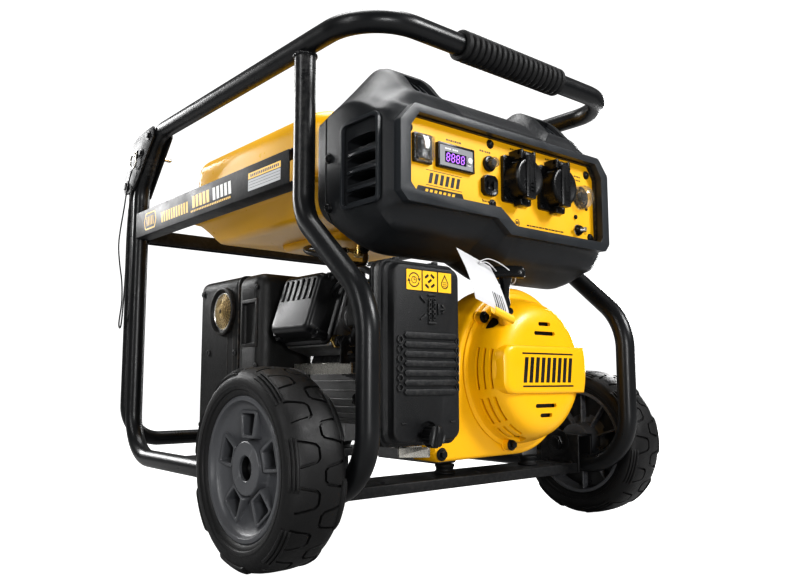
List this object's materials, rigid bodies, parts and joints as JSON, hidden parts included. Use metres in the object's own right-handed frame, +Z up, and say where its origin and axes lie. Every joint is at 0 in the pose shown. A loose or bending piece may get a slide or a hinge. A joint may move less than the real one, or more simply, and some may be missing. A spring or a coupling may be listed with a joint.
{
  "type": "portable generator",
  "caption": "Open-frame petrol generator: tube cage with wheels and folding tow handle, top fuel tank, control panel with lidded sockets, pull-start engine and muffler.",
  "frame": {"origin": "centre of the length and width, on the ground under the tyres and feet", "axes": "+X towards the right side seen from the control panel, +Y from the control panel towards the folding tow handle, +Z up"},
  "size_m": [0.689, 0.7314, 0.6639],
  "materials": {
    "frame_tube": "satin black powder coat on round tube",
    "bracket_paint": "satin black powder coat on pressed sheet",
    "bolt_steel": "zinc plated",
    "foot_rubber": "matte",
    "tyre_rubber": "matte",
    "rim_plastic": "moulded grey",
    "grip_rubber": "ribbed, matte",
    "housing_plastic": "fine grain",
    "panel_yellow": "semi gloss yellow",
    "black_plastic": "moulded black",
    "meter_face": "grey face with a dark window",
    "white_plastic": "moulded white",
    "clear_cap": "clear boot over a black button",
    "tank_yellow": "gloss yellow enamel",
    "cap_black": "ribbed black cap",
    "cover_grey": "textured dark grey moulding",
    "filter_foam": "oiled foam",
    "recoil_yellow": "pressed steel, gloss yellow",
    "shroud_black": "satin black",
    "pulley_plastic": "moulded",
    "engine_cast": "as cast",
    "alternator_cast": "cast end bells round a steel stack",
    "rotor_steel": "machined",
    "muffler_black": "heat resistant matte black",
    "hose_rubber": "smooth",
    "valve_brass": "plain",
    "lanyard_cord": "sheathed cord"
  },
  "bodies": {
    "chassis": {"air_cleaner_case": "black_plastic", "air_cleaner_cover": "cover_grey", "air_filter": "filter_foam", "alternator_housing": "alternator_cast", "axle_bolt_left": "bolt_steel", "axle_bolt_right": "bolt_steel", "axle_bracket_left": "bracket_paint", "axle_bracket_right": "bracket_paint", "blower_shroud": "recoil_yellow", "carburettor": "engine_cast", "control_back_cover": "housing_plastic", "control_housing": "housing_plastic", "dc_outlet": "black_plastic", "engine_block": "engine_cast", "foot_left": "foot_rubber", "foot_right": "foot_rubber", "frame_left_loop": "frame_tube", "frame_right_loop": "frame_tube", "frame_top_hoop": "frame_tube", "front_base_rail": "bracket_paint", "fuel_hose": "hose_rubber", "fuel_tank": "tank_yellow", "fuel_valve": "valve_brass", "handle_grip": "grip_rubber", "lanyard": "lanyard_cord", "meter_module": "meter_face", "muffler": "muffler_black", "panel_plate": "panel_yellow", "rear_cross_rail": "bracket_paint", "rear_leg": "bracket_paint", "recoil_cover": "recoil_yellow", "side_bar_left": "bracket_paint", "side_bar_right": "bracket_paint", "socket_left": "black_plastic", "socket_right": "black_plastic", "spark_plug_cap": "black_plastic", "tow_bracket_left": "bracket_paint", "tow_bracket_right": "bracket_paint", "valve_cover": "shroud_black"},
    "wheel_left": {"rim_left": "rim_plastic", "tyre_left": "tyre_rubber"},
    "wheel_right": {"rim_right": "rim_plastic", "tyre_right": "tyre_rubber"},
    "tow_handle": {"tow_handle": "frame_tube"},
    "lock_pin": {"lock_pin": "bolt_steel"},
    "fuel_cap": {"fuel_cap": "cap_black"},
    "fuel_valve_lever": {"fuel_valve_lever": "black_plastic"},
    "switch_rocker": {"switch_rocker": "black_plastic"},
    "meter_button": {"meter_button": "white_plastic"},
    "dc_breaker_button": {"dc_breaker_button": "clear_cap"},
    "ac_breaker_toggle": {"ac_breaker_toggle": "black_plastic"},
    "ground_wing_nut": {"ground_wing_nut": "black_plastic"},
    "socket_lid_left": {"socket_lid_left": "black_plastic"},
    "socket_lid_right": {"socket_lid_right": "black_plastic"},
    "recoil_grip": {"recoil_grip": "black_plastic"},
    "starter_pulley": {"starter_pulley": "pulley_plastic"},
    "crankshaft_rotor": {"crankshaft_rotor": "rotor_steel"},
    "air_cleaner_knob": {"air_cleaner_knob": "black_plastic"},
    "choke_lever": {"choke_lever": "black_plastic"},
    "dipstick": {"dipstick": "black_plastic"}
  },
  "joints": [
    {"name": "wheel_left_spin", "type": "hinge", "parent": "chassis", "child": "wheel_left", "pos_m": [-0.306, -0.227, 0.115], "axis": [1, 0, 0], "continuous": true},
    {"name": "wheel_right_spin", "type": "hinge", "parent": "chassis", "child": "wheel_right", "pos_m": [0.306, -0.227, 0.115], "axis": [1, 0, 0], "continuous": true},
    {"name": "tow_handle_fold", "type": "hinge", "parent": "chassis", "child": "tow_handle", "pos_m": [0, 0.35, 0.565], "axis": [1, 0, 0], "range_deg": [0, 90]},
    {"name": "lock_pin_pull", "type": "slide", "parent": "chassis", "child": "lock_pin", "axis": [-1, 0, 0], "range_m": [0, 0.06]},
    {"name": "fuel_cap_turn", "type": "hinge", "parent": "chassis", "child": "fuel_cap", "pos_m": [0, 0.023, 0.615], "axis": [0, 0, 1], "range_deg": [0, 90]},
    {"name": "fuel_valve_turn", "type": "hinge", "parent": "chassis", "child": "fuel_valve_lever", "pos_m": [-0.06, -0.093, 0.415], "axis": [0, -1, 0], "range_deg": [0, 90]},
    {"name": "switch_rock", "type": "hinge", "parent": "chassis", "child": "switch_rocker", "pos_m": [-0.16, -0.33, 0.495], "axis": [1, 0, 0], "range_deg": [-6, 6]},
    {"name": "meter_button_press", "type": "slide", "parent": "chassis", "child": "meter_button", "axis": [0, 1, 0], "range_m": [0, 0.001], "stiffness_N_per_m": 300},
    {"name": "dc_breaker_press", "type": "slide", "parent": "chassis", "child": "dc_breaker_button", "axis": [0, 1, 0], "range_m": [0, 0.003]},
    {"name": "ac_breaker_flip", "type": "hinge", "parent": "chassis", "child": "ac_breaker_toggle", "pos_m": [0.158, -0.33, 0.483], "axis": [1, 0, 0], "range_deg": [-8, 8]},
    {"name": "ground_nut_turn", "type": "hinge", "parent": "chassis", "child": "ground_wing_nut", "pos_m": [0.15, -0.337, 0.433], "axis": [0, -1, 0], "continuous": true},
    {"name": "socket_lid_left_lift", "type": "hinge", "parent": "chassis", "child": "socket_lid_left", "pos_m": [0.012, -0.354, 0.516], "axis": [-1, 0, 0], "range_deg": [0, 110], "stiffness_Nm_per_rad": 0.03, "springref_deg": -28.65},
    {"name": "socket_lid_right_lift", "type": "hinge", "parent": "chassis", "child": "socket_lid_right", "pos_m": [0.087, -0.354, 0.516], "axis": [-1, 0, 0], "range_deg": [0, 110], "stiffness_Nm_per_rad": 0.03, "springref_deg": -28.65},
    {"name": "recoil_grip_pull", "type": "slide", "parent": "chassis", "child": "recoil_grip", "axis": [-0.1, -0.9604, 0.2601], "range_m": [0, 0.55], "stiffness_N_per_m": 20, "springref_m": -0.4},
    {"name": "starter_pulley_turn", "type": "hinge", "parent": "chassis", "child": "starter_pulley", "pos_m": [0.068, -0.31, 0.228], "axis": [0, -1, 0], "range_deg": [0, 703]},
    {"name": "crankshaft_spin", "type": "hinge", "parent": "chassis", "child": "crankshaft_rotor", "pos_m": [0.068, -0.242, 0.228], "axis": [0, -1, 0], "continuous": true},
    {"name": "air_cleaner_knob_turn", "type": "hinge", "parent": "chassis", "child": "air_cleaner_knob", "pos_m": [-0.148, -0.342, 0.148], "axis": [0, -1, 0], "range_deg": [0, 180]},
    {"name": "choke_lever_turn", "type": "hinge", "parent": "chassis", "child": "choke_lever", "pos_m": [-0.174, -0.25, 0.311], "axis": [1, 0, 0], "range_deg": [0, 50]},
    {"name": "dipstick_turn", "type": "hinge", "parent": "chassis", "child": "dipstick", "pos_m": [-0.09235, -0.137, 0.1812], "axis": [-0.8838, 0, 0.4679], "range_deg": [0, 180]}
  ],
  "couplings": [
    {"joint": "starter_pulley_turn", "follows": "recoil_grip_pull", "rad_per_m": 22.222}
  ]
}
